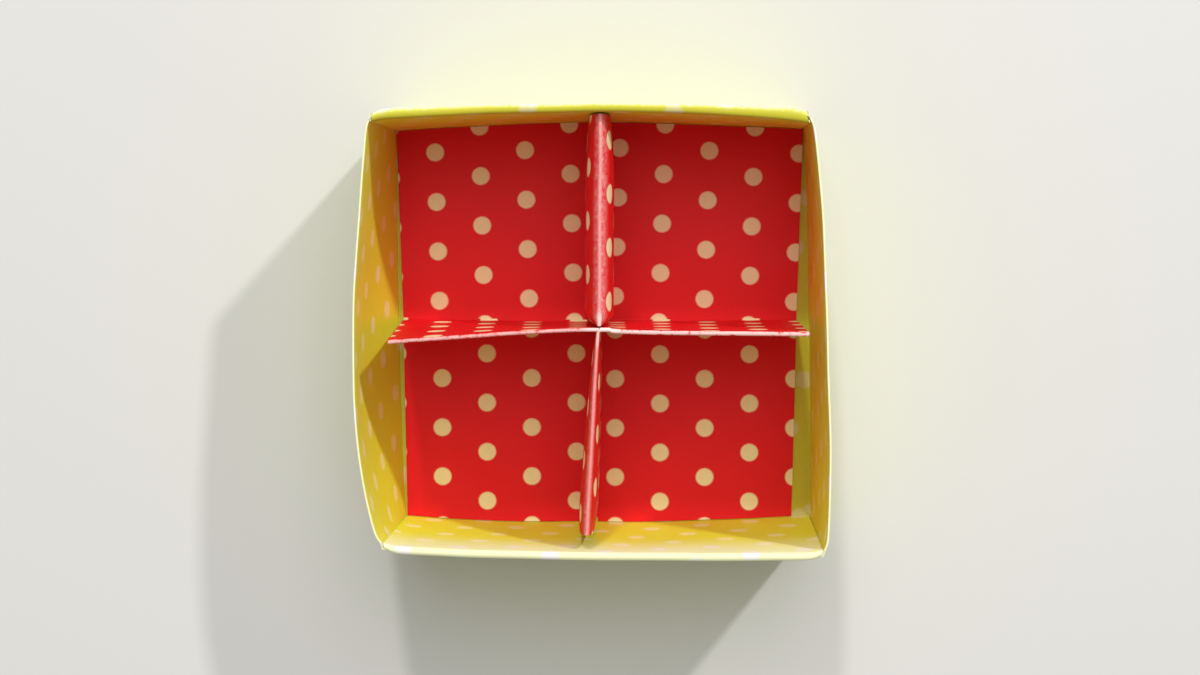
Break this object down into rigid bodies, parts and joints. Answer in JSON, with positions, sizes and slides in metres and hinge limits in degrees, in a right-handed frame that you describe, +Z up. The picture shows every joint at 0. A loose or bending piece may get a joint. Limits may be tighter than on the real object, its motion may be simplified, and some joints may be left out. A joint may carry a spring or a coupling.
{
  "type": "origami box",
  "caption": "Square open box folded from one sheet of spotted paper, with a folded paper cross standing in it that makes four compartments.",
  "frame": {"origin": "centre of the box's underside, on the surface that it stands on", "axes": "+Z up out of the open top; +X towards the picture's right; +Y towards the picture's top, where the divider's fat arm points"},
  "size_m": [0.0569, 0.0543, 0.0268],
  "materials": {
    "yellow_paper": "smooth coated paper, yellow with small pale polka dots",
    "red_paper": "smooth coated paper, red with cream polka dots"
  },
  "bodies": {
    "root": {"outer_box": "yellow_paper", "divider": "red_paper"}
  },
  "joints": []
}
